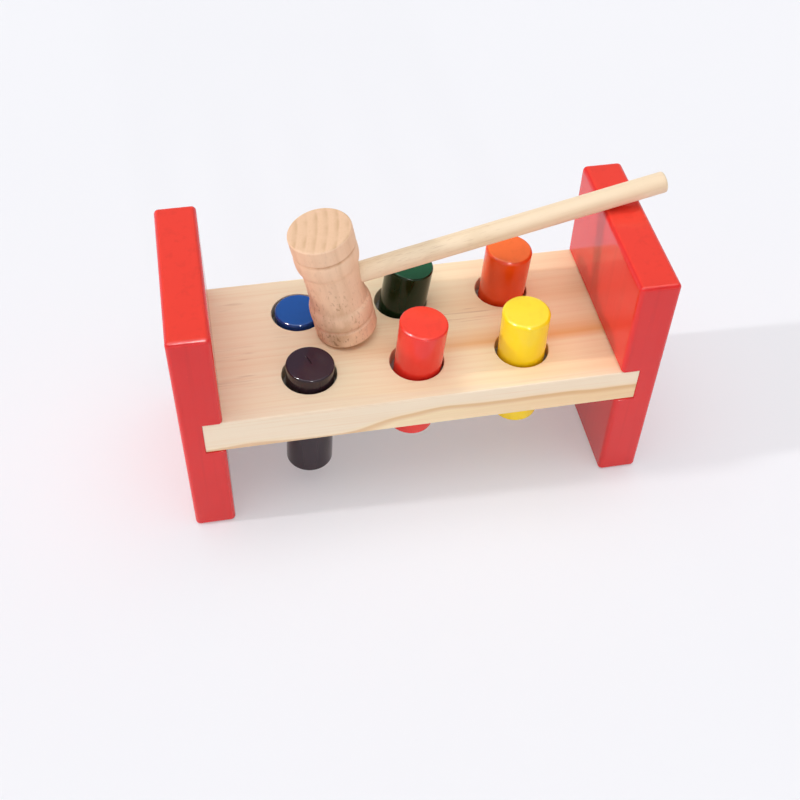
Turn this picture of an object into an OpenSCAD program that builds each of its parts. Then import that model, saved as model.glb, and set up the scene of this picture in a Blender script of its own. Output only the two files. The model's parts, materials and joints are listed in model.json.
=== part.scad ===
// Peg pounding bench: two upright end panels carry a drilled board, six pegs are held in its
// holes by rubber rings, and a mallet lies across it. X runs along the bench, Y to the back,
// and the origin is on the floor under the middle of the board.

/* [End panels] */
// Height of an end panel
panel_height = 120; // [100:1:150]
// Depth of an end panel, front to back
panel_depth = 85; // [78:1:120]
// Thickness of an end panel
panel_thickness = 18.4; // [17:0.1:26]
// Radius of the eased edges of the panels
panel_edge = 2.2; // [0.5:0.1:4]

/* [Board] */
// Length of the board that shows between the panels
board_span = 176.4; // [160:0.2:220]
// Thickness of the board
board_thickness = 18; // [14:0.5:24]
// Height of the board's underside above the floor
board_height = 51.5; // [46:0.5:60]
// How far the board's long edges stand back from the panels' edges
board_setback = 0.4; // [0:0.1:3]
// Radius of the board's eased long edges
board_edge = 0.8; // [0.3:0.1:2]
// Depth of the groove in a panel that takes the board's end
groove_depth = 8.8; // [6:0.1:10]
// Radius of the rounded edges of the groove's mouth
groove_edge = 1.3; // [0.5:0.1:3]
// Glue gap left around the board's end in its groove
glue_gap = 0.1; // [0.05:0.01:0.2]

/* [Dowels] */
// Diameter of a dowel pin
dowel_diameter = 6; // [4:0.5:10]
// Length of a dowel pin in the board
dowel_in_board = 14; // [8:1:20]
// Length of a dowel pin in the panel, past the groove
dowel_in_panel = 5.5; // [3:0.5:6.5]
// Distance between the two dowel pins of one end
dowel_pitch = 46; // [20:1:60]
// Gap between a dowel pin and its bore, on the radius and at each end
dowel_gap = 0.05; // [0.02:0.01:0.2]

/* [Holes and grip rings] */
// Diameter of a peg hole
hole_diameter = 24.4; // [23:0.1:28]
// Distance between neighbouring holes along the bench
hole_pitch = 48.3; // [42:0.1:54]
// Distance between the two rows of holes
row_pitch = 39.2; // [36:0.1:44]
// Thickness of a grip ring's round cord
ring_cord = 4.8; // [3:0.1:6]
// Gap between a grip ring and its peg, on the radius
ring_grip_gap = 0.06; // [0.05:0.01:0.1]
// Gap between a grip ring and the channel it sits in
ring_seat_gap = 0.1; // [0.05:0.01:0.3]

/* [Pegs] */
// Diameter of a peg
peg_diameter = 21.5; // [20:0.1:22]
// Length of a peg
peg_length = 62; // [50:1:66]
// Radius of a peg's rounded ends
peg_edge = 1.6; // [0.5:0.1:4]
// Height of the blue peg's top above the board
blue_stand = 1.6; // [0:0.1:4]
// Height of the purple peg's top above the board
purple_stand = 6.4; // [0:0.1:44]
// Height of the green peg's top above the board
green_stand = 22.6; // [0:0.1:28]
// Height of the red peg's top above the board
red_stand = 23.7; // [0:0.1:44]
// Height of the orange peg's top above the board
orange_stand = 25.3; // [0:0.1:38]
// Height of the yellow peg's top above the board
yellow_stand = 23; // [0:0.1:44]
// Lean of the blue peg to the right, as a share of what its hole allows
blue_lean = 0.05; // [0:0.01:1]
// Lean of the purple peg, likewise
purple_lean = 0.3; // [0:0.01:1]
// Lean of the green peg, likewise
green_lean = 1; // [0:0.01:1]
// Lean of the red peg, likewise
red_lean = 0.6; // [0:0.01:1]
// Lean of the orange peg, likewise
orange_lean = 0.44; // [0:0.01:1]
// Lean of the yellow peg, likewise
yellow_lean = 0.02; // [0:0.01:1]
// Gap left between a peg at its full lean and the rims of its hole
lean_gap = 0.18; // [0.1:0.01:0.3]

/* [Mallet] */
// Diameter of the mallet head
head_diameter = 28; // [25:0.5:32]
// Length of the mallet head
head_length = 59.4; // [56:0.2:64]
// Radius of the rounded rims of the mallet head
head_edge = 0.8; // [0.3:0.1:2]
// Length of the plain band at each end of the head
band_length = 9; // [6:0.1:12]
// Length of the swelling bead beside each band
bead_length = 13.2; // [10:0.1:15]
// Radius of the curve that the bead is turned to
bead_curve = 20; // [16:1:40]
// How far the top of the bead lies from the band
bead_crown = 5; // [3:0.1:8]
// Diameter of the waist in the middle of the head
waist_diameter = 24.8; // [20:0.1:25]
// Diameter of the handle
handle_diameter = 9.4; // [8:0.1:11]
// Length of the handle outside the head's axis
handle_reach = 152; // [140:1:180]
// How far the handle runs past the head's axis, in its blind bore
handle_root = 5; // [1:0.5:8]
// Radius of the handle's rounded end
handle_edge = 1.2; // [0.5:0.1:3]
// Gap between the handle and its bore
handle_gap = 0.05; // [0.02:0.01:0.2]
// Gap between the head's foot and the blue peg, seen from above
head_peg_gap = 0.7; // [0.5:0.1:4]
// Direction from the blue peg to the head's foot, turned from the bench's length to the front
head_bearing = 35.8; // [25:0.1:50]
// Turn of the handle towards the back, seen from above
mallet_yaw = 3.3; // [0:0.1:4]
// Gap between the mallet and what it lies on
mallet_gap = 0.2; // [0.1:0.05:0.4]

/* [Hidden] */
$fn = 96;

// Overlap that lets a cut pass clear of a face
cut = 1;

// Directions of the ends, the rows and the columns
left = -1;
right = 1;
front = -1;
rear = 1;
middle = 0;

// Board
board_top = board_height + board_thickness;
board_mid = board_height + board_thickness / 2;
board_depth = panel_depth - 2 * board_setback;
board_end = board_span / 2 + groove_depth - glue_gap;
groove_width = board_thickness + 2 * glue_gap;

// Dowel pins and their bores, which run from the board's end into the panel
dowel_length = dowel_in_board + dowel_in_panel;
bore_radius = dowel_diameter / 2 + dowel_gap;
bore_length = dowel_length + 2 * dowel_gap;

// A peg at its full lean nearly meets the rims of its hole, at the board's two faces
hole_room = hole_diameter / 2 - lean_gap;
full_lean = acos(peg_diameter / 2 / norm([hole_room, board_thickness / 2]))
    - atan2(board_thickness / 2, hole_room);

// Grip rings: a leaning peg stretches its ring
function ring_centre(lean) =
    (peg_diameter / 2 + ring_grip_gap + ring_cord / 2) / cos(lean * full_lean);
channel_radius = ring_centre(1) + ring_cord / 2 + ring_seat_gap;
channel_width = ring_cord + 2 * ring_seat_gap;

// Where a hole is, by its column and row
function hole_at(column, row) = [column * hole_pitch, row * row_pitch / 2];

// The mallet lies with its lower rim on the board, beside the blue peg, and its handle on the right
// panel's inner edge. This is the middle of the head's lower face, seen from above.
foot_reach = (peg_diameter + head_diameter) / 2 + head_peg_gap;
head_foot = hole_at(left, rear) + foot_reach * [cos(head_bearing), -sin(head_bearing)];

// Place of the head's middle, seen from above, when the mallet is tilted
function head_place(tilt) = head_foot
    - head_length / 2 * sin(tilt) * [cos(mallet_yaw), sin(mallet_yaw)];

// Where the panel's rounded inner edge is centred: its way from the head's middle along the handle,
// seen from above, and its height over the board
function rest_reach(tilt) = (board_span / 2 + panel_edge - head_place(tilt).x) / cos(mallet_yaw);
rest_rise = panel_height - panel_edge - board_top;

// Height of the head's middle over the board when the mallet is tilted
function head_rise(tilt) = mallet_gap + head_edge
    + (head_length / 2 - head_edge) * cos(tilt) + (head_diameter / 2 - head_edge) * sin(tilt);

// Room between the handle and the edge under it when the mallet is tilted
function handle_room(tilt) = (head_rise(tilt) - rest_rise) * cos(tilt)
    + rest_reach(tilt) * sin(tilt) - handle_diameter / 2 - panel_edge - mallet_gap;

// The tilt that leaves no room, found by halving the interval
function resting_tilt(low, high, steps) =
    let (mid = (low + high) / 2)
    steps == 0 ? mid
    : handle_room(mid) > 0 ? resting_tilt(low, mid, steps - 1)
    : resting_tilt(mid, high, steps - 1);

least_tilt = -10;
most_tilt = 40;
tilt_halvings = 30;
mallet_tilt = resting_tilt(least_tilt, most_tilt, tilt_halvings);
head_middle = concat(head_place(mallet_tilt), board_top + head_rise(mallet_tilt));

// Finishes
red_paint = "#e8483d";
pine = "#ebc99c";
beech = "#dcb490";
pale_beech = "#ecd3ac";
rubber = "#c4c2bd";

// Shapes that repeat

// A rectangle with round corners, centred
module rounded_rect(size, radius) {
    square([size.x - 2 * radius, size.y], center = true);
    square([size.x, size.y - 2 * radius], center = true);
    for (x = [-1, 1], y = [-1, 1])
        translate([x * (size.x / 2 - radius), y * (size.y / 2 - radius)]) circle(radius);
}

// A block with all its edges eased, centred
module eased_block(size, radius) {
    intersection() {
        linear_extrude(size.z, center = true) rounded_rect([size.x, size.y], radius);
        rotate([90, 0, 0]) linear_extrude(size.y, center = true) rounded_rect([size.x, size.z], radius);
        rotate([90, 0, 90]) linear_extrude(size.x, center = true) rounded_rect([size.y, size.z], radius);
    }
}

// A round bar along Z with rounded rims, from the floor up
module turned_bar(radius, length, rim) {
    rotate_extrude() {
        square([radius - rim, length]);
        translate([0, rim]) square([radius, length - 2 * rim]);
        for (z = [rim, length - rim]) translate([radius - rim, z]) circle(rim);
    }
}

// Bores for the dowel pins of one end, through the board's end into the panel
module dowel_bores(side) {
    for (row = [front, rear]) dowel_place(side, row)
        translate([0, 0, -dowel_in_board - dowel_gap]) cylinder(r = bore_radius, h = bore_length);
}

// Middle of a dowel pin at the board's end, with Z pointing out of the bench
module dowel_place(side, row) {
    translate([side * board_end, row * dowel_pitch / 2, board_mid]) rotate([0, side * 90, 0]) children();
}

// Outline of the groove for the board's end, running in from the panel's face, with a rounded mouth
module groove_outline() {
    translate([-cut, -groove_width / 2]) square([groove_depth + cut, groove_width]);
    difference() {
        translate([-cut, -groove_width / 2 - groove_edge])
            square([groove_edge + cut, groove_width + 2 * groove_edge]);
        for (side = [-1, 1])
            translate([groove_edge, side * (groove_width / 2 + groove_edge)]) circle(groove_edge);
    }
}

// Sub-parts

module end_panel(side) {
    color(red_paint) difference() {
        translate([side * (board_span + panel_thickness) / 2, 0, panel_height / 2])
            eased_block([panel_thickness, panel_depth, panel_height], panel_edge);
        translate([side * board_span / 2, 0, board_mid]) rotate([90, 0, 90 - side * 90])
            linear_extrude(panel_depth + 2 * cut, center = true) groove_outline();
        dowel_bores(side);
    }
}

module left_end_panel() end_panel(left);

module right_end_panel() end_panel(right);

module peg_board() {
    color(pine) difference() {
        translate([0, 0, board_mid]) rotate([90, 0, 90])
            linear_extrude(2 * board_end, center = true)
                rounded_rect([board_depth, board_thickness], board_edge);
        for (column = [left, middle, right], row = [front, rear])
            translate(concat(hole_at(column, row), board_mid)) {
                cylinder(d = hole_diameter, h = board_thickness + 2 * cut, center = true);
                cylinder(r = channel_radius, h = channel_width, center = true);
            }
        for (side = [left, right]) dowel_bores(side);
    }
}

module dowel(side, row) {
    color(pale_beech) dowel_place(side, row)
        translate([0, 0, -dowel_in_board]) cylinder(d = dowel_diameter, h = dowel_length);
}

module left_front_dowel() dowel(left, front);

module left_rear_dowel() dowel(left, rear);

module right_front_dowel() dowel(right, front);

module right_rear_dowel() dowel(right, rear);

module grip_ring(place, lean) {
    color(rubber) translate(concat(place, board_mid))
        rotate_extrude() translate([ring_centre(lean), 0]) circle(d = ring_cord);
}

module blue_grip_ring() grip_ring(hole_at(left, rear), blue_lean);

module green_grip_ring() grip_ring(hole_at(middle, rear), green_lean);

module orange_grip_ring() grip_ring(hole_at(right, rear), orange_lean);

module purple_grip_ring() grip_ring(hole_at(left, front), purple_lean);

module red_grip_ring() grip_ring(hole_at(middle, front), red_lean);

module yellow_grip_ring() grip_ring(hole_at(right, front), yellow_lean);

// A peg leans about the middle of its ring, and its top stands over the board
module peg(place, stand, lean) {
    top = board_thickness / 2 + stand;
    translate(concat(place, board_mid)) rotate([0, lean * full_lean, 0])
        translate([0, 0, top - peg_length]) turned_bar(peg_diameter / 2, peg_length, peg_edge);
}

module blue_peg() color("#27559b") peg(hole_at(left, rear), blue_stand, blue_lean);

module green_peg() color("#2f6a4b") peg(hole_at(middle, rear), green_stand, green_lean);

module orange_peg() color("#f96f3d") peg(hole_at(right, rear), orange_stand, orange_lean);

module purple_peg() color("#4a3346") peg(hole_at(left, front), purple_stand, purple_lean);

module red_peg() color("#f04a3c") peg(hole_at(middle, front), red_stand, red_lean);

module yellow_peg() color("#fcdb3c") peg(hole_at(right, front), yellow_stand, yellow_lean);

// Puts the head's middle at its place over the board, with X along the handle and Z along the head
module mallet_place() {
    translate(head_middle) rotate([0, -mallet_tilt, mallet_yaw]) children();
}

// Half of the head's turned outline, from its middle to one end
module head_outline() {
    radius = head_diameter / 2;
    band_foot = head_length / 2 - band_length;
    square([waist_diameter / 2, band_foot + head_edge]);
    intersection() {
        translate([0, band_foot - bead_length]) square([radius + cut, bead_length + head_edge]);
        translate([radius - bead_curve, band_foot - bead_crown]) circle(bead_curve);
    }
    translate([0, band_foot]) {
        square([radius - head_edge, band_length]);
        translate([0, head_edge]) square([radius, band_length - 2 * head_edge]);
        for (z = [head_edge, band_length - head_edge]) translate([radius - head_edge, z]) circle(head_edge);
    }
}

module mallet_head() {
    color(beech) mallet_place() difference() {
        rotate_extrude() {
            head_outline();
            mirror([0, 1]) head_outline();
        }
        translate([-handle_root - handle_gap, 0, 0]) rotate([0, 90, 0])
            cylinder(r = handle_diameter / 2 + handle_gap, h = handle_root + head_diameter);
    }
}

module mallet_handle() {
    color(pale_beech) mallet_place() translate([-handle_root, 0, 0]) rotate([0, 90, 0])
        turned_bar(handle_diameter / 2, handle_root + handle_reach, handle_edge);
}

left_end_panel();
right_end_panel();
peg_board();
left_front_dowel();
left_rear_dowel();
right_front_dowel();
right_rear_dowel();
blue_grip_ring();
green_grip_ring();
orange_grip_ring();
purple_grip_ring();
red_grip_ring();
yellow_grip_ring();
blue_peg();
green_peg();
orange_peg();
purple_peg();
red_peg();
yellow_peg();
mallet_head();
mallet_handle();
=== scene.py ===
import json
import math

import bmesh
import bpy
from mathutils import Matrix, Quaternion, Vector


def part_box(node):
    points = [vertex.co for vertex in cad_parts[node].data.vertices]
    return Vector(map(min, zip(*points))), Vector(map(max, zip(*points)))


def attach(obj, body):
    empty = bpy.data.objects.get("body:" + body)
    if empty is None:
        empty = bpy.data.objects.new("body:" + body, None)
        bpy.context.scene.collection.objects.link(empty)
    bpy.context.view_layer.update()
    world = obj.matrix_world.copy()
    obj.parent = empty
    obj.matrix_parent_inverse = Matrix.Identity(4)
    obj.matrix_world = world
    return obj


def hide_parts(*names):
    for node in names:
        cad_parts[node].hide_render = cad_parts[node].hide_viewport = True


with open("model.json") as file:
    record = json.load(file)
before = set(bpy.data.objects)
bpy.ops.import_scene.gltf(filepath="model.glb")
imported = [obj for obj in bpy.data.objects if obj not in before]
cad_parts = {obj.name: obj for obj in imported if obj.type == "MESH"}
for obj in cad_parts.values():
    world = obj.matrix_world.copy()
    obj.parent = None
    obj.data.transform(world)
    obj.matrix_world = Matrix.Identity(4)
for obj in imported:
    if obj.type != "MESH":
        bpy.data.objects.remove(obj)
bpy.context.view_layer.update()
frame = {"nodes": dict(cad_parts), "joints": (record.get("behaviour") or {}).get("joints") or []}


def srgb(red, green, blue):
    """A colour written as it looks on screen, 0 to 255, as the linear colour that shaders take."""
    def linear(value):
        value /= 255
        return value / 12.92 if value <= 0.04045 else ((value + 0.055) / 1.055) ** 2.4
    return (linear(red), linear(green), linear(blue), 1.0)


def shade(colour, factor):
    """The same colour, lighter or darker."""
    return tuple(min(1.0, value * factor) for value in colour[:3]) + (1.0,)


# Sizes in metres, as the bench is built. Places come from the frame's own boxes and joint axes.
# Values that end in STEPS or SIDES say how finely a rounding or a turned piece is divided.
MM = 0.001
TINY = 0.001 * MM
SHARP_ANGLE = math.radians(40)

PANEL_EDGE = 2.2 * MM
PANEL_EDGE_STEPS = 8
GROOVE_DEPTH = 8.8 * MM
GROOVE_GAP = 0.1 * MM
GROOVE_MOUTH_EDGE = 1.3 * MM
GROOVE_END_EDGE = 0.4 * MM

BOARD_EDGE = 0.8 * MM
BOARD_EDGE_STEPS = 4
HOLE_RADIUS = 12.2 * MM
HOLE_RIM_EDGE = 0.35 * MM
HOLE_RIM_STEPS = 4
HOLE_SIDES = 96
CHANNEL_RADIUS = 15.8 * MM
CHANNEL_WIDTH = 5.0 * MM
DRILL_PAST = 1.0 * MM

DOWEL_RADIUS = 3.0 * MM
DOWEL_FLUTES = 16
DOWEL_FLUTE_SIDES = 6
DOWEL_FLUTE_DEPTH = 0.25 * MM
DOWEL_CHAMFER = 0.8 * MM

# Rings of points this far from a rounded rim keep the faces beside it straight
RIM_FAR_RING = 1.0 * MM
RIM_NEAR_RING = 0.2 * MM

PEG_RADIUS = 10.75 * MM
PEG_LENGTH = 62.0 * MM
PEG_CROWN = 0.12 * MM
PEG_SIDES = 96
BAR_RIM_STEPS = 8

# Each peg's rounding at its ends, its paint on the side and a paler copy for its ends that paints them as
# lit, and how much it shines
PEGS = {
    "blue": (1.2 * MM, srgb(12, 62, 140), srgb(22, 90, 178), 0.5),
    "green": (1.0 * MM, srgb(12, 41, 17), srgb(32, 92, 62), 0.3),
    "orange": (1.6 * MM, srgb(236, 76, 24), srgb(255, 118, 52), 0.5),
    "purple": (0.8 * MM, srgb(46, 30, 38), srgb(56, 38, 53), 0.4),
    "red": (1.0 * MM, srgb(236, 48, 36), srgb(252, 68, 50), 0.5),
    "yellow": (1.6 * MM, srgb(255, 216, 20), srgb(255, 230, 60), 0.5),
}

# The dent in one peg's top: its middle from the peg's axis, its bearing, and its shape
DENTED_PEG = "purple"
DENT_MIDDLE = (-0.45 * MM, 2.25 * MM)
DENT_BEARING = math.radians(-69)
DENT_LENGTH = 5.7 * MM
DENT_WIDTH = 0.8 * MM
DENT_DEPTH = 0.45 * MM
DENT_STEPS = 24
DENT_SIDES = 48

HEAD_RADIUS = 14.0 * MM
HEAD_LENGTH = 59.4 * MM
HEAD_RIM = 0.9 * MM
HEAD_RIM_STEPS = 7
HEAD_CROWN = 0.15 * MM
HEAD_SIDES = 128
HEAD_SHARP_ANGLE = math.radians(50)

HANDLE_RADIUS = 4.7 * MM
HANDLE_ROOT = 5.0 * MM
HANDLE_REACH = 152.0 * MM
HANDLE_RIM = 1.2 * MM
HANDLE_CROWN = 0.2 * MM
HANDLE_SIDES = 64
HANDLE_BORE_GAP = 0.05 * MM
HANDLE_BORE_EDGE = 0.3 * MM
HANDLE_BORE_PAST = 3.0 * MM

# The turned head from its middle to one end, in mm: distance from the middle, and radius.
# A plain waist steps out to a bead, and a fine groove parts the bead from the end's band.
HEAD_TURNING = [
    (0.0, 12.40), (5.0, 12.42), (8.0, 12.50), (9.8, 12.62), (10.6, 12.74), (11.2, 13.15),
    (11.8, 13.52), (12.8, 13.82), (14.5, 14.06), (16.5, 14.12), (18.4, 14.00), (19.5, 13.66),
    (20.1, 13.08), (20.4, 12.72), (20.7, 13.08), (21.1, 13.72), (21.6, 13.96), (22.6, 14.00),
    (28.6, 14.00),
]
HEAD_TURNING_STEP = 0.35

# The photograph's camera
CAMERA_PLACE = Vector((-82.94, -370.96, 450.59)) * MM
CAMERA_AZIMUTH = math.radians(-12.196)
CAMERA_ELEVATION = math.radians(48.508)
CAMERA_ROLL = math.radians(1.972)
CAMERA_LENS_MM = 52.897
CAMERA_SENSOR_MM = 36.0
CAMERA_NEAR = 10 * MM
CAMERA_FAR = 100.0


# Meshes

def arc(radius, centre, start, end, steps):
    """Points on a circle arc in an outline, from one angle in degrees to another, both included."""
    points = []
    for step in range(steps + 1):
        angle = math.radians(start + (end - start) * step / steps)
        points.append((centre[0] + radius * math.cos(angle), centre[1] + radius * math.sin(angle)))
    return points


def mirrored(upper):
    """A whole outline from its upper half. A point on the middle line isn't doubled."""
    return [(radius, -height) for radius, height in reversed(upper) if height > 0] + upper


def turn(build, outline, sides, place=Matrix.Identity(4), radius_at=None):
    """Adds a turned solid to a mesh. The outline is (radius, height) from the axis round to the axis."""
    rings = []
    for radius, height in outline:
        if radius < TINY:
            rings.append([build.verts.new(place @ Vector((0, 0, height)))])
            continue
        ring = []
        for side in range(sides):
            angle = math.tau * side / sides
            reach = radius_at(radius, angle) if radius_at else radius
            point = Vector((reach * math.cos(angle), reach * math.sin(angle), height))
            ring.append(build.verts.new(place @ point))
        rings.append(ring)
    for low, high in zip(rings, rings[1:]):
        for side in range(sides):
            after = (side + 1) % sides
            if len(low) == 1:
                build.faces.new((low[0], high[after], high[side]))
            elif len(high) == 1:
                build.faces.new((low[side], low[after], high[0]))
            else:
                build.faces.new((low[side], low[after], high[after], high[side]))


def smooth(mesh, sharp_angle):
    """Shades a mesh smooth, except at edges sharper than the angle."""
    mesh.shade_smooth()
    mesh.set_sharp_from_angle(angle=sharp_angle)


def put_in_scene(name, data):
    """A new object of the scene."""
    thing = bpy.data.objects.new(name, data)
    bpy.context.scene.collection.objects.link(thing)
    return thing


def piece_from(name, build, place=Matrix.Identity(4), sharp_angle=SHARP_ANGLE):
    """Makes an object of a finished mesh."""
    bmesh.ops.recalc_face_normals(build, faces=build.faces)
    mesh = bpy.data.meshes.new(name)
    build.to_mesh(mesh)
    build.free()
    smooth(mesh, sharp_angle)
    piece = put_in_scene(name, mesh)
    piece.matrix_world = place
    return piece


def settle(piece):
    """Makes what the piece's modifiers give its own mesh."""
    bpy.context.view_layer.update()
    shaped = piece.evaluated_get(bpy.context.evaluated_depsgraph_get())
    mesh = bpy.data.meshes.new_from_object(shaped)
    piece.modifiers.clear()
    mesh.name = piece.name
    piece.data = mesh


def keep_flats_flat(piece):
    """Lets the large faces set the normals, so that a rounded edge doesn't shade into a flat face."""
    weighted = piece.modifiers.new("normals", "WEIGHTED_NORMAL")
    weighted.weight = 100
    weighted.keep_sharp = True
    settle(piece)


def carve(piece, cutter, sharp_angle=SHARP_ANGLE):
    """Takes the cutter's shape out of the piece."""
    cut = piece.modifiers.new("cut", "BOOLEAN")
    cut.operation = "DIFFERENCE"
    cut.solver = "EXACT"
    cut.object = cutter
    settle(piece)
    bpy.data.objects.remove(cutter)
    smooth(piece.data, sharp_angle)


def middle_of(node):
    """The middle of a CAD node's box."""
    low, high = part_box(node)
    return (low + high) / 2


def crowned_end(radius, half, rim, crown, rim_steps):
    """The upper end of a turned outline: its rounded rim, then a slight crown in to the axis."""
    flat = radius - rim
    edge = half - crown
    points = arc(rim, (flat, edge - rim), 0, 90, rim_steps)
    points.append((flat - RIM_NEAR_RING, edge + 0.04 * crown))
    for out in (0.8, 0.4, 0.0):
        points.append((flat * out, edge + (1 - out ** 2) * crown))
    return points


def round_bar(length, radius, rim, crown):
    """Outline of a bar with rounded rims and slightly crowned ends, centred on its middle."""
    half = length / 2
    shoulder = half - crown - rim
    side = [(radius, 0.0), (radius, shoulder - RIM_FAR_RING), (radius, shoulder - RIM_NEAR_RING)]
    return mirrored(side + crowned_end(radius, half, rim, crown, BAR_RIM_STEPS))


def end_panel(side):
    """An upright panel with rounded edges and the groove that takes the board's end."""
    node = side + "_end_panel"
    low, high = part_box(node)
    centre = (low + high) / 2
    half = (high - low) / 2
    board_low, board_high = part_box("peg_board")
    inward = 1 if side == "left" else -1
    outer = -inward * half.x
    inner = inward * half.x
    groove = inner - inward * GROOVE_DEPTH
    groove_low = board_low.z - GROOVE_GAP - centre.z
    groove_high = board_high.z + GROOVE_GAP - centre.z
    outline = [
        (outer, -half.z), (inner, -half.z), (inner, groove_low), (groove, groove_low),
        (groove, groove_high), (inner, groove_high), (inner, half.z), (outer, half.z),
    ]
    build = bmesh.new()
    weight = build.edges.layers.float.new("bevel_weight_edge")
    front = [build.verts.new((x, -half.y, z)) for x, z in outline]
    rear = [build.verts.new((x, half.y, z)) for x, z in outline]
    build.faces.new(front)
    build.faces.new(rear)
    for here in range(len(outline)):
        after = (here + 1) % len(outline)
        build.faces.new((front[here], front[after], rear[after], rear[here]))
    for edge in build.edges:
        ends = [vert.co for vert in edge.verts]
        in_groove = [abs(co.x - groove) < TINY for co in ends]
        at_mouth = [abs(abs(co.x) - half.x) < TINY and groove_low - TINY < co.z < groove_high + TINY
                    for co in ends]
        along_depth = abs(ends[0].y - ends[1].y) > TINY
        if all(in_groove) and along_depth:
            edge[weight] = 0.0
        elif any(in_groove):
            edge[weight] = GROOVE_END_EDGE / PANEL_EDGE
        elif all(at_mouth) and along_depth:
            edge[weight] = GROOVE_MOUTH_EDGE / PANEL_EDGE
        else:
            edge[weight] = 1.0
    piece = piece_from(node + "_look", build, Matrix.Translation(centre))
    rounding = piece.modifiers.new("rounding", "BEVEL")
    rounding.limit_method = "WEIGHT"
    rounding.width = PANEL_EDGE
    rounding.segments = PANEL_EDGE_STEPS
    rounding.miter_outer = "MITER_ARC"
    settle(piece)
    keep_flats_flat(piece)
    return piece


def hole_outline(thickness):
    """Outline of what is drilled out for one peg: a bore with eased rims and the ring's channel."""
    half = thickness / 2
    past = half + DRILL_PAST
    flare = HOLE_RADIUS + HOLE_RIM_EDGE
    channel = CHANNEL_WIDTH / 2
    upper = [(CHANNEL_RADIUS, channel), (HOLE_RADIUS, channel)]
    upper += arc(HOLE_RIM_EDGE, (flare, half - HOLE_RIM_EDGE), 180, 90, HOLE_RIM_STEPS)
    upper += [(flare, past), (0.0, past)]
    return mirrored(upper)


def peg_board():
    """The drilled board, with eased long edges."""
    low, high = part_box("peg_board")
    centre = (low + high) / 2
    size = high - low
    build = bmesh.new()
    bmesh.ops.create_cube(build, size=1, matrix=Matrix.Diagonal((*size, 1)))
    long_edges = [edge for edge in build.edges
                  if abs(edge.verts[0].co.x - edge.verts[1].co.x) > size.x / 2]
    bmesh.ops.bevel(build, geom=long_edges, offset=BOARD_EDGE, segments=BOARD_EDGE_STEPS, profile=0.5,
                    affect="EDGES")
    piece = piece_from("peg_board_look", build, Matrix.Translation(centre))
    drill = bmesh.new()
    for colour in PEGS:
        place = Matrix.Translation(middle_of(colour + "_grip_ring"))
        turn(drill, hole_outline(size.z), HOLE_SIDES, place)
    carve(piece, piece_from("drill", drill))
    keep_flats_flat(piece)
    return piece


def dowel(node):
    """A fluted pin with chamfered ends, along the bench."""
    low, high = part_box(node)
    half = (high.x - low.x) / 2
    upper = [(DOWEL_RADIUS, half - DOWEL_CHAMFER), (DOWEL_RADIUS - DOWEL_CHAMFER, half), (0.0, half)]

    def fluted(radius, angle):
        if radius < DOWEL_RADIUS:
            return radius
        return radius - DOWEL_FLUTE_DEPTH * (0.5 + 0.5 * math.cos(DOWEL_FLUTES * angle))

    build = bmesh.new()
    turn(build, mirrored(upper), DOWEL_FLUTES * DOWEL_FLUTE_SIDES, radius_at=fluted)
    place = Matrix.Translation((low + high) / 2) @ Matrix.Rotation(math.pi / 2, 4, "Y")
    return piece_from(node + "_look", build, place)


def peg(colour, rim):
    """A painted peg on the axis that its slide gives."""
    node = colour + "_peg"
    axis = next(Vector(joint["axis"]) for joint in frame["joints"] if joint["child"] == node)
    build = bmesh.new()
    turn(build, round_bar(PEG_LENGTH, PEG_RADIUS, rim, PEG_CROWN), PEG_SIDES)
    leaning = Vector((0, 0, 1)).rotation_difference(axis).to_matrix().to_4x4()
    return piece_from(node + "_look", build, Matrix.Translation(middle_of(node)) @ leaning)


def dent(piece):
    """Presses a short shallow dent into a peg's top."""
    radius = (DENT_WIDTH ** 2 / 4 + DENT_DEPTH ** 2) / (2 * DENT_DEPTH)
    lift = radius - DENT_DEPTH
    reach = DENT_LENGTH / 2 / math.sqrt(1 - (lift / radius) ** 2)
    outline = []
    for step in range(DENT_STEPS + 1):
        angle = math.pi * step / DENT_STEPS
        outline.append((radius * math.sin(angle), -reach * math.cos(angle)))
    lying = Matrix.Rotation(DENT_BEARING, 4, "Z") @ Matrix.Rotation(math.pi / 2, 4, "Y")
    place = Matrix.Translation((*DENT_MIDDLE, PEG_LENGTH / 2 + lift)) @ lying
    build = bmesh.new()
    turn(build, outline, DENT_SIDES)
    carve(piece, piece_from("press", build, piece.matrix_world @ place))


def mallet_place():
    """The middle of the mallet's head, with X along the handle and Z along the head."""
    middle = middle_of("mallet_head")
    along = (middle_of("mallet_handle") - middle).normalized()
    across = Vector((0, 0, 1)).cross(along).normalized()
    up = along.cross(across)
    turned = Matrix((along, across, up)).transposed().to_4x4()
    return Matrix.Translation(middle) @ turned


def smooth_through(points, step):
    """More points on a smooth curve through the given ones, by cubic steps."""
    slopes = []
    for before, here, after in zip([points[0]] + points, points, points[1:] + [points[-1]]):
        run = after[0] - before[0]
        slopes.append((after[1] - before[1]) / run if run else 0.0)
    curve = []
    for (x0, y0), (x1, y1), m0, m1 in zip(points, points[1:], slopes, slopes[1:]):
        run = x1 - x0
        count = max(1, round(run / step))
        for index in range(count):
            t = index / count
            curve.append((x0 + run * t,
                          y0 * (1 + 2 * t) * (1 - t) ** 2 + m0 * run * t * (1 - t) ** 2
                          + y1 * t * t * (3 - 2 * t) + m1 * run * t * t * (t - 1)))
    return curve + [points[-1]]


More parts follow.
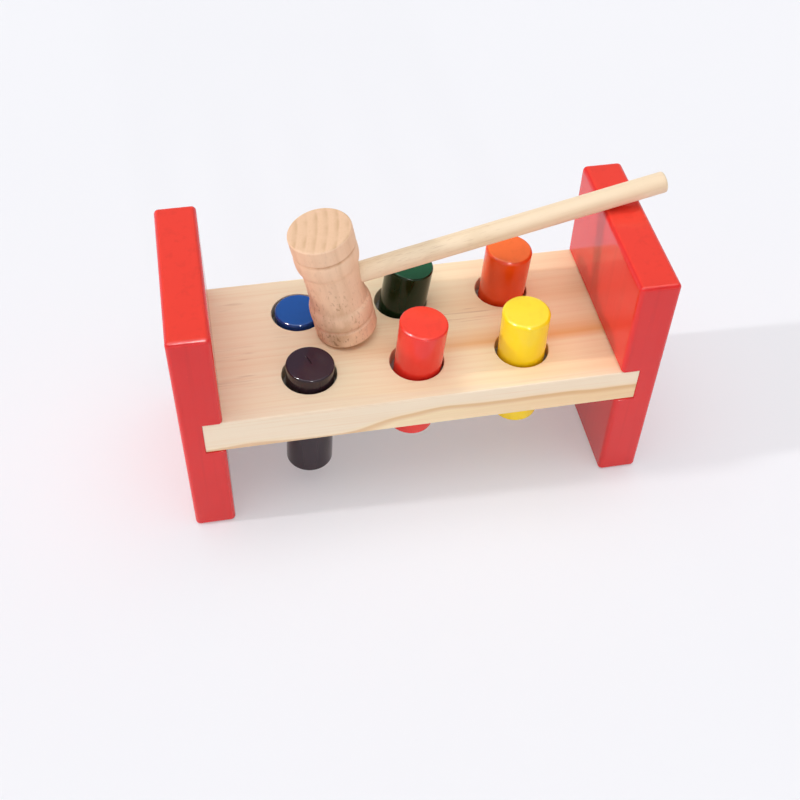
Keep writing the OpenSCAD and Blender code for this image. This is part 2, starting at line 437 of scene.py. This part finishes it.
def mallet_head():
    """The turned head, with the blind bore that its handle is glued into."""
    turning = smooth_through(HEAD_TURNING, HEAD_TURNING_STEP)
    side = [(radius * MM, height * MM) for height, radius in turning]
    end = crowned_end(HEAD_RADIUS, HEAD_LENGTH / 2, HEAD_RIM, HEAD_CROWN, HEAD_RIM_STEPS)
    build = bmesh.new()
    turn(build, mirrored(side + end[1:]), HEAD_SIDES)
    head = piece_from("mallet_head_look", build, mallet_place(), HEAD_SHARP_ANGLE)
    bore = HANDLE_RADIUS + HANDLE_BORE_GAP
    flare = bore + HANDLE_BORE_EDGE
    root = -HANDLE_ROOT - HANDLE_BORE_GAP
    waist = HEAD_TURNING[0][1] * MM
    past = waist + HANDLE_BORE_PAST
    cutter = bmesh.new()
    turn(cutter, [(0.0, root), (bore, root), (bore, waist - 2 * HANDLE_BORE_EDGE),
                  (flare, waist + HANDLE_BORE_EDGE), (flare, past), (0.0, past)], HANDLE_SIDES)
    along_handle = mallet_place() @ Matrix.Rotation(math.pi / 2, 4, "Y")
    carve(head, piece_from("bore", cutter, along_handle), HEAD_SHARP_ANGLE)
    return head


def mallet_handle():
    """The plain round handle, from its bore in the head to its rounded end."""
    length = HANDLE_ROOT + HANDLE_REACH
    build = bmesh.new()
    turn(build, round_bar(length, HANDLE_RADIUS, HANDLE_RIM, HANDLE_CROWN), HANDLE_SIDES)
    along_handle = mallet_place() @ Matrix.Rotation(math.pi / 2, 4, "Y")
    shift = Matrix.Translation((0, 0, length / 2 - HANDLE_ROOT))
    return piece_from("mallet_handle_look", build, along_handle @ shift)


# Materials

BLACK = (0.0, 0.0, 0.0, 1.0)
WHITE = (1.0, 1.0, 1.0, 1.0)
BUMP_STRENGTH = 0.5


class Graph:
    """Builds a node tree: each call adds a node and gives back one of its outputs."""

    def __init__(self, tree):
        self.nodes = tree.nodes
        self.links = tree.links
        self.nodes.clear()

    def add(self, kind, inputs=(), output=0, **settings):
        node = self.nodes.new("ShaderNode" + kind)
        for name, value in settings.items():
            setattr(node, name, value)
        for socket, value in dict(inputs).items():
            if isinstance(value, bpy.types.NodeSocket):
                self.links.new(value, node.inputs[socket])
            else:
                node.inputs[socket].default_value = value
        return node.outputs[output]

    def place(self):
        return self.add("TexCoord", output="Object")

    def axes(self, vector):
        """All three outputs, by the names X, Y and Z."""
        return self.add("SeparateXYZ", {"Vector": vector}).node.outputs

    def mapping(self, vector, location=(0, 0, 0), rotation=(0, 0, 0), scale=(1, 1, 1)):
        return self.add("Mapping", {"Vector": vector, "Location": location, "Rotation": rotation,
                                    "Scale": scale})

    def noise(self, vector, scale=1.0, detail=2.0, roughness=0.5):
        """Noise from 0 to 1, mostly between 0.3 and 0.7. The scale is in patches per metre."""
        return self.add("TexNoise", {"Vector": vector, "Scale": scale, "Detail": detail,
                                     "Roughness": roughness})

    def math(self, operation, first, second=0.0):
        return self.add("Math", {0: first, 1: second}, operation=operation)

    def times(self, product, *factors):
        for factor in factors:
            product = self.math("MULTIPLY", product, factor)
        return product

    def one_minus(self, value):
        return self.math("SUBTRACT", 1.0, value)

    def vector_math(self, operation, first, second=(0, 0, 0), output=0):
        return self.add("VectorMath", {0: first, 1: second}, output=output, operation=operation)

    def dot(self, first, second):
        return self.vector_math("DOT_PRODUCT", first, second, output="Value")

    def remap(self, value, low, high, to_low=0.0, to_high=1.0):
        return self.add("MapRange", {"Value": value, "From Min": low, "From Max": high,
                                     "To Min": to_low, "To Max": to_high},
                        interpolation_type="SMOOTHSTEP")

    def ramp(self, value, stops):
        node = self.add("ValToRGB", {"Fac": value}).node
        elements = node.color_ramp.elements
        while len(elements) < len(stops):
            elements.new(0.5)
        for element, (position, colour) in zip(elements, stops):
            element.position = position
            element.color = colour
        return node.outputs["Color"]

    def mix(self, factor, first, second):
        return self.add("Mix", {0: factor, 6: first, 7: second}, output=2, data_type="RGBA")

    def bump(self, height, distance, strength=BUMP_STRENGTH, normal=None):
        inputs = {"Height": height, "Distance": distance, "Strength": strength}
        if normal is not None:
            inputs["Normal"] = normal
        return self.add("Bump", inputs, output="Normal")

    def surface(self, shader):
        output = self.nodes.new("ShaderNodeOutputMaterial")
        self.links.new(shader, output.inputs["Surface"])


def new_material(name):
    material = bpy.data.materials.new(name)
    material.use_nodes = True
    return material, Graph(material.node_tree)


def end_grain(graph):
    """How squarely a face looks along the piece's own Z, from 0 on its sides to 1 on its ends."""
    normal = graph.add("TexCoord", output="Normal")
    return graph.math("ABSOLUTE", graph.dot(normal, (0, 0, 1)))


# Gloss paint: how many marks of each kind lie on a metre, and how high they stand
PAINT_DRIFTS = 28
PAINT_PALE_EDGE_PATCHES = 160
PAINT_SCUFFS = 260
PAINT_SCUFF_PATCHES = 34
PAINT_SPECKS = 210
PAINT_SPECK_PATCHES = 90
PAINT_SMUDGES = 55
PAINT_PEEL = 750
PAINT_PEEL_HEIGHT = 0.012 * MM
PAINT_GRAIN_HEIGHT = 0.05 * MM
PAINT_SPECK_HEIGHT = 0.05 * MM
PAINT_PALE_EDGE_WIDTH = 1.2 * MM
PANEL_GRAIN = (260, 260, 7)
PEG_GRAIN = (240, 240, 8)


def rubbed_and_highlit_edges(graph, place):
    """Paler paint in patches along the rounded edges: partly wear where hands have rubbed it, partly a
    painted highlight along the edges.
    """
    rounded = graph.add("Bevel", {"Radius": PAINT_PALE_EDGE_WIDTH}, samples=6)
    flat = graph.add("NewGeometry", output="Normal")
    edge = graph.one_minus(graph.dot(rounded, flat))
    edge_patches = graph.noise(place, scale=PAINT_PALE_EDGE_PATCHES, detail=4, roughness=0.65)
    return graph.times(graph.remap(edge, 0.02, 0.14), graph.remap(edge_patches, 0.5, 0.68))


def scuffs(graph, place):
    """Small marks that lie together in patches."""
    marks = graph.noise(place, scale=PAINT_SCUFFS, detail=5, roughness=0.75)
    patches = graph.noise(place, scale=PAINT_SCUFF_PATCHES, detail=2)
    return graph.times(graph.remap(marks, 0.62, 0.7), graph.remap(patches, 0.58, 0.68))


def dust_specks(graph, place):
    """A few round specks that dried into the paint."""
    specks = graph.add("TexVoronoi", {"Vector": place, "Scale": PAINT_SPECKS}, output="Distance")
    patches = graph.noise(place, scale=PAINT_SPECK_PATCHES, detail=1)
    return graph.times(graph.remap(specks, 0.10, 0.04), graph.remap(patches, 0.6, 0.66))


def gloss_paint(name, colour, lit_end_colour, grain_scale, specular):
    """Brushed gloss paint on wood: faint grain, orange peel, dust and scuffs. Its ends take a paler copy of
    the paint, painted light that makes them look lit and the sides shaded.
    """
    material, graph = new_material(name)
    place = graph.place()
    end = graph.remap(end_grain(graph), 0.8, 0.97)
    drift = graph.noise(place, scale=PAINT_DRIFTS, detail=3)
    grain = graph.noise(graph.mapping(place, scale=grain_scale), detail=4, roughness=0.6)
    scuff = graph.times(scuffs(graph, place), graph.one_minus(end))
    dust = dust_specks(graph, place)

    # Layers of tone, each mixed in up to its own share
    # Painted light: the ends take the paler copy of the paint as if lit, the sides the darker one as if
    # shaded
    body = graph.mix(end, colour, lit_end_colour)
    deep = graph.mix(end, shade(colour, 0.86), shade(lit_end_colour, 0.86))
    body = graph.mix(graph.remap(drift, 0.35, 0.7, 0.0, 0.3), body, deep)
    body = graph.mix(graph.remap(grain, 0.5, 0.72, 0.0, 0.45), body, deep)
    # Paler patches on the rounded edges: rubbed wear, and partly a painted edge highlight
    body = graph.mix(graph.times(rubbed_and_highlit_edges(graph, place), 0.25), body, shade(lit_end_colour, 1.25))
    body = graph.mix(graph.times(scuff, 0.4), body, shade(colour, 0.55))
    body = graph.mix(graph.times(dust, 0.2), body, shade(lit_end_colour, 1.2))

    smudge = graph.noise(place, scale=PAINT_SMUDGES, detail=5, roughness=0.7)
    roughness = graph.math("ADD", graph.remap(smudge, 0.35, 0.75, 0.1, 0.17), graph.times(scuff, 0.25))
    normal = graph.bump(graph.noise(place, scale=PAINT_PEEL, detail=1), PAINT_PEEL_HEIGHT)
    normal = graph.bump(grain, PAINT_GRAIN_HEIGHT, normal=normal)
    normal = graph.bump(dust, PAINT_SPECK_HEIGHT, normal=normal)
    graph.surface(graph.add("BsdfPrincipled", {"Base Color": body, "Roughness": roughness, "Normal": normal,
                                               "Specular IOR Level": specular}))
    return material


# Bare wood: how many fibres lie on a metre along the grain and across it, and how deep the tooth is
WOOD_FIBRES = (14, 900, 900)
WOOD_FIBRE_HEIGHT = 0.06 * MM
WOOD_FLECK_DEPTH = 0.05 * MM
WOOD_SPECULAR = 0.2


def pith_distance(graph, grain):
    """Distance from the pith, which lies along X in the grain's own place."""
    return graph.vector_math("LENGTH", graph.vector_math("MULTIPLY", grain, (0, 1, 1)), output="Value")


def year_rings(graph, radius, spacing):
    """Late wood from 0 to 1: it grows through each year and ends at a sharp edge."""
    year = graph.math("FRACT", graph.math("DIVIDE", radius, spacing))
    return graph.ramp(year, [(0.0, BLACK), (0.35, shade(WHITE, 0.08)), (0.8, WHITE), (1.0, BLACK)])


def wobble(graph, grain, scale, reach):
    """A slow drift of the rings to either side, up to about the given reach."""
    drift = graph.noise(graph.mapping(grain, scale=scale))
    return graph.times(graph.math("SUBTRACT", drift, 0.5), 2 * reach)


def bare_wood(graph, body, grain, fibre_tone, fleck, fleck_scale, flecks):
    """Fibres, short dark flecks, a dry sheen and a fine tooth over the wood's own colour."""
    fibre = graph.noise(graph.mapping(grain, scale=WOOD_FIBRES), detail=4, roughness=0.65)
    body = graph.mix(graph.remap(fibre, 0.45, 0.8, 0.0, 0.2), body, fibre_tone)
    dashes = graph.noise(graph.mapping(grain, scale=fleck_scale), detail=1.5)
    dash = graph.times(graph.remap(dashes, 0.57, 0.68), flecks)
    body = graph.mix(dash, body, fleck)
    roughness = graph.remap(fibre, 0.3, 0.8, 0.5, 0.66)
    normal = graph.bump(fibre, WOOD_FIBRE_HEIGHT)
    normal = graph.bump(dash, -WOOD_FLECK_DEPTH, normal=normal)
    graph.surface(graph.add("BsdfPrincipled", {"Base Color": body, "Roughness": roughness, "Normal": normal,
                                               "Specular IOR Level": WOOD_SPECULAR}))


# The pine's grain, in the board's own place. The sapwood starts at its distance from the pith, which the
# grain's climb brings nearer on the left. The front face's looks come in between the two depths.
PINE_PITH = (0.0, 60 * MM, -40.5 * MM)
PINE_BAND = 20 * MM
PINE_BAND_PHASE = 13.2 * MM
PINE_RING = 3.3 * MM
PINE_SAPWOOD = 110.2 * MM
PINE_CLIMB = 2.8 * MM
PINE_WOBBLE = 1.6 * MM
PINE_FRONT = (-41.2 * MM, -41.9 * MM)
PINE_FLECKS = (45, 900, 900)


def pine_board(name, pale, warm, sap, fleck):
    """Flat-sawn pine: broad warm bands, faint year rings, and pale sapwood along the front edge."""
    material, graph = new_material(name)
    own = graph.place()
    along = graph.axes(own)["X"]
    depth = graph.axes(own)["Y"]
    front = graph.remap(depth, *PINE_FRONT)
    grain = graph.mapping(own, location=[-value for value in PINE_PITH])
    climb = graph.remap(along, -35 * MM, 12 * MM, PINE_CLIMB, 0.0)
    radius = graph.math("ADD", pith_distance(graph, grain), climb)
    radius = graph.math("ADD", radius, wobble(graph, own, (14, 30, 30), PINE_WOBBLE))

    # The bands grow to the right, and are calmer on the front face, beside the sapwood and at the rear
    calm = graph.remap(radius, PINE_SAPWOOD - 14 * MM, PINE_SAPWOOD - 8 * MM, 1.0, 0.15)
    bands = graph.times(
        year_rings(graph, graph.math("SUBTRACT", radius, PINE_BAND_PHASE), PINE_BAND),
        graph.remap(along, -50 * MM, 60 * MM, 0.1, 0.85),
        graph.remap(front, 0.0, 1.0, 1.0, 0.28),
        graph.math("MAXIMUM", front, calm),
        graph.remap(depth, -2 * MM, 10 * MM, 1.0, 0.3),
    )
    body = graph.mix(graph.remap(along, -70 * MM, 0.0, 0.5, 0.0), pale, sap)
    body = graph.mix(graph.remap(along, 10 * MM, 85 * MM, 0.0, 0.18), body, warm)
    body = graph.mix(bands, body, warm)
    body = graph.mix(graph.times(year_rings(graph, radius, PINE_RING), 0.09), body, shade(warm, 0.9))

    # The sapwood, and on the front face the dark line of late wood before it
    sapwood = graph.remap(radius, PINE_SAPWOOD - 0.3 * MM, PINE_SAPWOOD + 0.9 * MM, 0.0, 0.85)
    body = graph.mix(graph.times(sapwood, graph.remap(front, 0.0, 1.0, 0.35, 1.0)), body, sap)
    late = graph.times(graph.remap(radius, PINE_SAPWOOD - 1.4 * MM, PINE_SAPWOOD - 0.3 * MM),
                       graph.remap(radius, PINE_SAPWOOD + 0.3 * MM, PINE_SAPWOOD - 0.1 * MM, 0.0, 0.5))
    body = graph.mix(graph.times(late, front), body, shade(warm, 0.8))

    patches = graph.noise(graph.mapping(grain, scale=(20, 60, 60)))
    flecks = graph.remap(patches, 0.6, 0.7, 0.0, 0.4)
    bare_wood(graph, body, grain, shade(warm, 0.95), fleck, PINE_FLECKS, flecks)
    return material


TURNED_PITH_AWAY = 75 * MM
TURNED_WOBBLE = 1.2 * MM


def turned_wood(name, early, late, fleck, pith_bearing, ring_spacing, ring_contrast, fleck_scale, flecks):
    """Wood turned along its grain: year rings seen edge on, clearer on its ends, and short dark flecks.

    The grain runs along the piece's own Z, and the pith lies well outside the piece. The contrast is that
    of the rings on the sides and on the ends. Flecks and darker patches gather on the lower half, away from
    the piece's own X.
    """
    material, graph = new_material(name)
    own = graph.place()
    pith = (0.0, TURNED_PITH_AWAY * math.sin(pith_bearing), -TURNED_PITH_AWAY * math.cos(pith_bearing))
    grain = graph.mapping(own, location=pith, rotation=(0.0, math.pi / 2, 0.0))
    end = graph.remap(end_grain(graph), 0.5, 0.9)

    drift = wobble(graph, grain, (9, 30, 30), TURNED_WOBBLE)
    radius = graph.math("ADD", pith_distance(graph, grain), drift)
    uneven = graph.remap(graph.noise(graph.mapping(grain, scale=(8, 140, 140))), 0.3, 0.7, 0.2, 1.0)
    rings = graph.times(year_rings(graph, radius, ring_spacing), uneven)
    body = graph.mix(graph.times(rings, graph.remap(end, 0.0, 1.0, *ring_contrast)), early, late)
    body = graph.mix(graph.times(end, 0.3), body, late)

    # Darker patches, more of them towards the bottom and away from the piece's own X
    axes = graph.axes(own)
    low_away_side = graph.times(graph.remap(axes["Z"], 14 * MM, -14 * MM, 0.15, 1.0),
                       graph.remap(axes["X"], -6 * MM, 10 * MM, 1.0, 0.3),
                       graph.one_minus(end))
    blotch_noise = graph.noise(graph.mapping(grain, scale=(70, 130, 130)), detail=3)
    blotch = graph.times(graph.remap(blotch_noise, 0.45, 0.7), low_away_side, flecks)
    body = graph.mix(blotch, body, shade(late, 0.9))
    patches = graph.noise(graph.mapping(grain, scale=(40, 110, 110)))
    shown = graph.times(graph.remap(patches, 0.3, 0.5), low_away_side, flecks)
    bare_wood(graph, body, grain, shade(late, 0.95), fleck, fleck_scale, shown)
    return material


RUBBER_DUST = 220
RUBBER_TOOTH = 1600
RUBBER_TOOTH_HEIGHT = 0.03 * MM


def rubber(name, colour):
    """Moulded grip ring: dull, slightly dusty."""
    material, graph = new_material(name)
    place = graph.place()
    dust = graph.noise(place, scale=RUBBER_DUST, detail=4, roughness=0.6)
    body = graph.mix(graph.remap(dust, 0.35, 0.7), shade(colour, 0.85), shade(colour, 1.08))
    roughness = graph.remap(dust, 0.3, 0.7, 0.5, 0.7)
    normal = graph.bump(graph.noise(place, scale=RUBBER_TOOTH), RUBBER_TOOTH_HEIGHT, strength=0.4)
    graph.surface(graph.add("BsdfPrincipled", {"Base Color": body, "Roughness": roughness,
                                               "Normal": normal}))
    return material


# Stage

FLOOR_SIZE = 12.0
FLOOR_COLOUR = srgb(238, 238, 242)
FLOOR_WHITE = srgb(250, 250, 253)
FLOOR_GLOW = 0.28
FLOOR_CLOUDS = 6
FLOOR_TOOTH = 900
FLOOR_TOOTH_HEIGHT = 0.02 * MM

# Heights in the room are sines of the elevation
ROOM_COLOUR = (0.98, 0.985, 1.0, 1.0)
ROOM_LEVEL = 0.4
HORIZON_LEVEL = 1.0
HORIZON_FADE = (0.12, 0.42)
SOFT_LIGHT_LEVEL = 1.95
SOFT_LIGHT_FADE = (0.8, 0.95)

SIDE_LEVEL = 0.4
SIDE_AZIMUTH = math.radians(-92)
SIDE_ELEVATION = math.radians(25)
SIDE_SPREAD = math.radians(2.5)
FRONT_LEVEL = 0.1
FRONT_AZIMUTH = math.radians(4)
FRONT_ELEVATION = math.radians(9)
FRONT_SPREAD = math.radians(4)
FRONT_WINDOW_LEVEL = 0.5
SIDE_WINDOW_LEVEL = 1.6
SIDE_WINDOW_AZIMUTH = math.radians(-82)
WINDOW_ELEVATION = math.radians(58)
WINDOW_SPREAD = math.radians(8)


def table_top(name):
    """The pale floor: matt paper with a faint tooth. Part of what is seen of it is plain white."""
    material, graph = new_material(name)
    place = graph.place()
    clouds = graph.remap(graph.noise(place, scale=FLOOR_CLOUDS), 0.3, 0.7)
    body = graph.mix(clouds, shade(FLOOR_COLOUR, 0.998), shade(FLOOR_COLOUR, 1.002))
    normal = graph.bump(graph.noise(place, scale=FLOOR_TOOTH), FLOOR_TOOTH_HEIGHT, strength=0.2)
    paper = graph.add("BsdfPrincipled", {"Base Color": body, "Roughness": 0.9, "Normal": normal,
                                         "Specular IOR Level": 0.1})
    path = graph.add("LightPath").node.outputs
    reflected = graph.math("MAXIMUM", path["Is Glossy Ray"], path["Is Transmission Ray"])
    seen = graph.math("MAXIMUM", path["Is Camera Ray"], reflected)
    white = graph.add("Emission", {"Color": FLOOR_WHITE, "Strength": 1.0})
    graph.surface(graph.add("MixShader", {0: graph.times(seen, FLOOR_GLOW), 1: paper, 2: white}))
    return material


def add_floor():
    build = bmesh.new()
    bmesh.ops.create_grid(build, x_segments=2, y_segments=2, size=FLOOR_SIZE / 2)
    floor = piece_from("floor", build)
    floor.data.materials.append(table_top("floor_paper"))


def facing(azimuth, elevation):
    """The rotation of a lamp or camera that looks at the bench from there.

    Azimuth 0 is in front of the bench, and grows to its right.
    """
    level = math.cos(elevation)
    towards = Vector((-math.sin(azimuth) * level, math.cos(azimuth) * level, -math.sin(elevation)))
    return towards.to_track_quat("-Z", "Y")


def add_lamp(name, azimuth, elevation, level, spread, only_gloss=False):
    """A lamp so far off that it lights all of the floor alike. Level 1 from above makes white paper white.

    A lamp for gloss alone makes glints.
    """
    data = bpy.data.lights.new(name, "SUN")
    data.energy = level * math.pi
    data.angle = spread
    lamp = put_in_scene(name, data)
    lamp.rotation_mode = "QUATERNION"
    lamp.rotation_quaternion = facing(azimuth, elevation)
    lamp.visible_diffuse = not only_gloss


def add_lamps():
    add_lamp("side", SIDE_AZIMUTH, SIDE_ELEVATION, SIDE_LEVEL, SIDE_SPREAD)
    add_lamp("front", FRONT_AZIMUTH, FRONT_ELEVATION, FRONT_LEVEL, FRONT_SPREAD)
    add_lamp("front_window", FRONT_AZIMUTH, WINDOW_ELEVATION, FRONT_WINDOW_LEVEL, WINDOW_SPREAD,
             only_gloss=True)
    add_lamp("side_window", SIDE_WINDOW_AZIMUTH, WINDOW_ELEVATION, SIDE_WINDOW_LEVEL, WINDOW_SPREAD,
             only_gloss=True)


def add_room():
    """The room round the table: a pale horizon, dim walls, and a broad soft light overhead."""
    world = bpy.data.worlds.new("room")
    world.use_nodes = True
    bpy.context.scene.world = world
    graph = Graph(world.node_tree)
    height = graph.axes(graph.add("TexCoord", output="Generated"))["Z"]
    walls = graph.remap(height, *HORIZON_FADE, HORIZON_LEVEL, ROOM_LEVEL)
    overhead = graph.remap(height, *SOFT_LIGHT_FADE, 0.0, SOFT_LIGHT_LEVEL)
    background = graph.add("Background", {"Color": ROOM_COLOUR,
                                          "Strength": graph.math("ADD", walls, overhead)})
    output = graph.nodes.new("ShaderNodeOutputWorld")
    graph.links.new(background, output.inputs["Surface"])


def add_camera():
    data = bpy.data.cameras.new("camera")
    data.lens = CAMERA_LENS_MM
    data.sensor_width = CAMERA_SENSOR_MM
    data.clip_start = CAMERA_NEAR
    data.clip_end = CAMERA_FAR
    camera = put_in_scene("camera", data)
    camera.location = CAMERA_PLACE
    camera.rotation_mode = "QUATERNION"
    roll = Quaternion((0, 0, 1), CAMERA_ROLL)
    camera.rotation_quaternion = facing(CAMERA_AZIMUTH, CAMERA_ELEVATION) @ roll
    bpy.context.scene.camera = camera


# Dressing the bench

def dress(piece, body, node, material):
    """Gives a piece its material, hangs it on the body it rides on, and hides the CAD part that it takes
    the place of.
    """
    piece.data.materials.clear()
    piece.data.materials.append(material)
    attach(piece, body)
    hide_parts(node)


def dress_bench():
    """The panels, the board and the hidden dowels."""
    # Painted light: a darker red for the sides and a paler one for the top and bottom, so the top looks lit
    # and the front shaded
    panel_paint = gloss_paint("panel_gloss_red", srgb(222, 38, 36), srgb(240, 62, 47), PANEL_GRAIN, 0.45)
    for side in ("left", "right"):
        dress(end_panel(side), "bench", side + "_end_panel", panel_paint)

    pine = pine_board(
        "pine",
        pale=srgb(252, 232, 195),
        warm=srgb(234, 170, 102),
        sap=srgb(247, 228, 203),
        fleck=srgb(186, 136, 92),
    )
    dress(peg_board(), "bench", "peg_board", pine)

    dowel_beech = turned_wood(
        "dowel_beech",
        early=srgb(234, 206, 166),
        late=srgb(214, 176, 130),
        fleck=srgb(150, 105, 75),
        pith_bearing=0.0,
        ring_spacing=2.5 * MM,
        ring_contrast=(0.5, 0.8),
        fleck_scale=(300, 1500, 1500),
        flecks=0.5,
    )
    for end in ("left", "right"):
        for row in ("front", "rear"):
            node = f"{end}_{row}_dowel"
            dress(dowel(node), "bench", node, dowel_beech)


def dress_pegs():
    """The painted pegs, and the rubber of the CAD's own grip rings."""
    ring_rubber = rubber("grip_rubber", srgb(190, 184, 174))
    # Each peg's side paint and the paler copy for its ends, which paints the ends as lit
    for colour, (rim, side_paint, lit_end_paint, shine) in PEGS.items():
        frame["nodes"][colour + "_grip_ring"].material_slots[0].material = ring_rubber
        paint = gloss_paint(colour + "_gloss", side_paint, lit_end_paint, PEG_GRAIN, shine)
        piece = peg(colour, rim)
        if colour == DENTED_PEG:
            dent(piece)
        dress(piece, colour + "_peg", colour + "_peg", paint)


def dress_mallet():
    """The turned head and its handle."""
    head_beech = turned_wood(
        "head_beech",
        early=srgb(240, 203, 171),
        late=srgb(206, 162, 122),
        fleck=srgb(148, 92, 58),
        pith_bearing=math.radians(-12),
        ring_spacing=4.4 * MM,
        ring_contrast=(0.25, 0.75),
        fleck_scale=(420, 1000, 1000),
        flecks=0.6,
    )
    dress(mallet_head(), "mallet", "mallet_head", head_beech)

    handle_wood = turned_wood(
        "handle_wood",
        early=srgb(240, 217, 186),
        late=srgb(224, 193, 152),
        fleck=srgb(200, 162, 124),
        pith_bearing=math.radians(40),
        ring_spacing=3.0 * MM,
        ring_contrast=(0.45, 0.8),
        fleck_scale=(200, 1800, 1800),
        flecks=0.3,
    )
    dress(mallet_handle(), "mallet", "mallet_handle", handle_wood)


add_camera()
add_floor()
add_room()
add_lamps()
dress_bench()
dress_pegs()
dress_mallet()

bpy.context.scene.view_settings.view_transform = "Standard"
